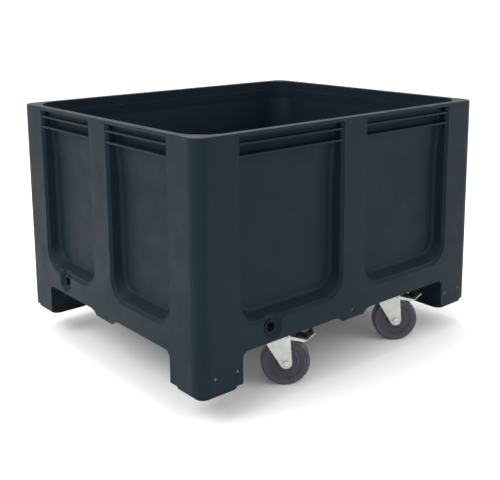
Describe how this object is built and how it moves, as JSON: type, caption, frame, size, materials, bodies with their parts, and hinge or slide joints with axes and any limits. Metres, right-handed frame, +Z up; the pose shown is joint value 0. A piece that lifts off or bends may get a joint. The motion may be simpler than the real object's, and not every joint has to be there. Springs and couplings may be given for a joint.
{
  "type": "wheeled pallet bin",
  "caption": "Large open rectangular plastic bin on swivel castors, with recessed side panels, four feet, drain outlets and foot brakes.",
  "frame": {"origin": "on the floor under the middle of the tub, where the wheels touch", "axes": "+X along the long side to the right seen from the braked front, +Y to the rear, +Z up"},
  "size_m": [1.2, 1, 0.81],
  "materials": {
    "tub_plastic": "satin, lightly textured",
    "pad_plastic": "satin",
    "zinc_steel": "zinc plated, bright",
    "bright_steel": "bright plated",
    "pedal_steel": "dark satin",
    "tyre": "matte",
    "hub_plastic": "matte"
  },
  "bodies": {
    "bin": {"tub": "tub_plastic", "foot_pad_front_left": "pad_plastic", "foot_pad_front_right": "pad_plastic", "foot_pad_rear_left": "pad_plastic", "foot_pad_rear_right": "pad_plastic", "foot_pad_screws_front_left": "bright_steel", "foot_pad_screws_front_right": "bright_steel", "foot_pad_screws_rear_left": "bright_steel", "foot_pad_screws_rear_right": "bright_steel", "castor_front_left_plate": "zinc_steel", "castor_front_left_screws": "bright_steel", "castor_front_left_kingpin": "bright_steel", "castor_front_left_balls": "bright_steel", "castor_front_right_plate": "zinc_steel", "castor_front_right_screws": "bright_steel", "castor_front_right_kingpin": "bright_steel", "castor_front_right_balls": "bright_steel", "castor_rear_left_plate": "zinc_steel", "castor_rear_left_screws": "bright_steel", "castor_rear_left_kingpin": "bright_steel", "castor_rear_left_balls": "bright_steel", "castor_rear_right_plate": "zinc_steel", "castor_rear_right_screws": "bright_steel", "castor_rear_right_kingpin": "bright_steel", "castor_rear_right_balls": "bright_steel"},
    "front_left_fork": {"castor_front_left_fork": "zinc_steel", "castor_front_left_axle": "bright_steel", "castor_front_left_axle_nut": "bright_steel", "castor_front_left_axle_sleeve": "bright_steel", "castor_front_left_brake_pin": "bright_steel", "castor_front_left_brake_spring": "bright_steel"},
    "front_left_wheel": {"castor_front_left_wheel_hub": "hub_plastic", "castor_front_left_tyre": "tyre"},
    "front_left_brake": {"castor_front_left_brake_lever": "zinc_steel", "castor_front_left_brake_pedal": "pedal_steel", "castor_front_left_brake_shoe": "hub_plastic"},
    "front_right_fork": {"castor_front_right_fork": "zinc_steel", "castor_front_right_axle": "bright_steel", "castor_front_right_axle_nut": "bright_steel", "castor_front_right_axle_sleeve": "bright_steel", "castor_front_right_brake_pin": "bright_steel", "castor_front_right_brake_spring": "bright_steel"},
    "front_right_wheel": {"castor_front_right_wheel_hub": "hub_plastic", "castor_front_right_tyre": "tyre"},
    "front_right_brake": {"castor_front_right_brake_lever": "zinc_steel", "castor_front_right_brake_pedal": "pedal_steel", "castor_front_right_brake_shoe": "hub_plastic"},
    "rear_left_fork": {"castor_rear_left_fork": "zinc_steel", "castor_rear_left_axle": "bright_steel", "castor_rear_left_axle_nut": "bright_steel", "castor_rear_left_axle_sleeve": "bright_steel"},
    "rear_left_wheel": {"castor_rear_left_wheel_hub": "hub_plastic", "castor_rear_left_tyre": "tyre"},
    "rear_right_fork": {"castor_rear_right_fork": "zinc_steel", "castor_rear_right_axle": "bright_steel", "castor_rear_right_axle_nut": "bright_steel", "castor_rear_right_axle_sleeve": "bright_steel"},
    "rear_right_wheel": {"castor_rear_right_wheel_hub": "hub_plastic", "castor_rear_right_tyre": "tyre"}
  },
  "joints": [
    {"name": "front_left_swivel", "type": "hinge", "parent": "bin", "child": "front_left_fork", "pos_m": [-0.255, -0.4, 0.164], "axis": [0, 0, 1], "continuous": true},
    {"name": "front_left_roll", "type": "hinge", "parent": "front_left_fork", "child": "front_left_wheel", "pos_m": [-0.22146, -0.42528, 0.075], "axis": [0.6018, 0.7986, 0], "continuous": true},
    {"name": "front_left_brake_pedal", "type": "hinge", "parent": "front_left_fork", "child": "front_left_brake", "pos_m": [-0.21746, -0.42829, 0.1545], "axis": [0.6018, 0.7986, 0], "range_deg": [0, 12], "stiffness_Nm_per_rad": 1, "springref_deg": -5.73},
    {"name": "front_right_swivel", "type": "hinge", "parent": "bin", "child": "front_right_fork", "pos_m": [0.255, -0.4, 0.164], "axis": [0, 0, 1], "continuous": true},
    {"name": "front_right_roll", "type": "hinge", "parent": "front_right_fork", "child": "front_right_wheel", "pos_m": [0.28854, -0.42528, 0.075], "axis": [0.6018, 0.7986, 0], "continuous": true},
    {"name": "front_right_brake_pedal", "type": "hinge", "parent": "front_right_fork", "child": "front_right_brake", "pos_m": [0.29254, -0.42829, 0.1545], "axis": [0.6018, 0.7986, 0], "range_deg": [0, 12], "stiffness_Nm_per_rad": 1, "springref_deg": -5.73},
    {"name": "rear_left_swivel", "type": "hinge", "parent": "bin", "child": "rear_left_fork", "pos_m": [-0.255, 0.4, 0.164], "axis": [0, 0, 1], "continuous": true},
    {"name": "rear_left_roll", "type": "hinge", "parent": "rear_left_fork", "child": "rear_left_wheel", "pos_m": [-0.21553, 0.41436, 0.075], "axis": [-0.342, 0.9397, 0], "continuous": true},
    {"name": "rear_right_swivel", "type": "hinge", "parent": "bin", "child": "rear_right_fork", "pos_m": [0.255, 0.4, 0.164], "axis": [0, 0, 1], "continuous": true},
    {"name": "rear_right_roll", "type": "hinge", "parent": "rear_right_fork", "child": "rear_right_wheel", "pos_m": [0.21553, 0.41436, 0.075], "axis": [-0.342, -0.9397, 0], "continuous": true}
  ]
}
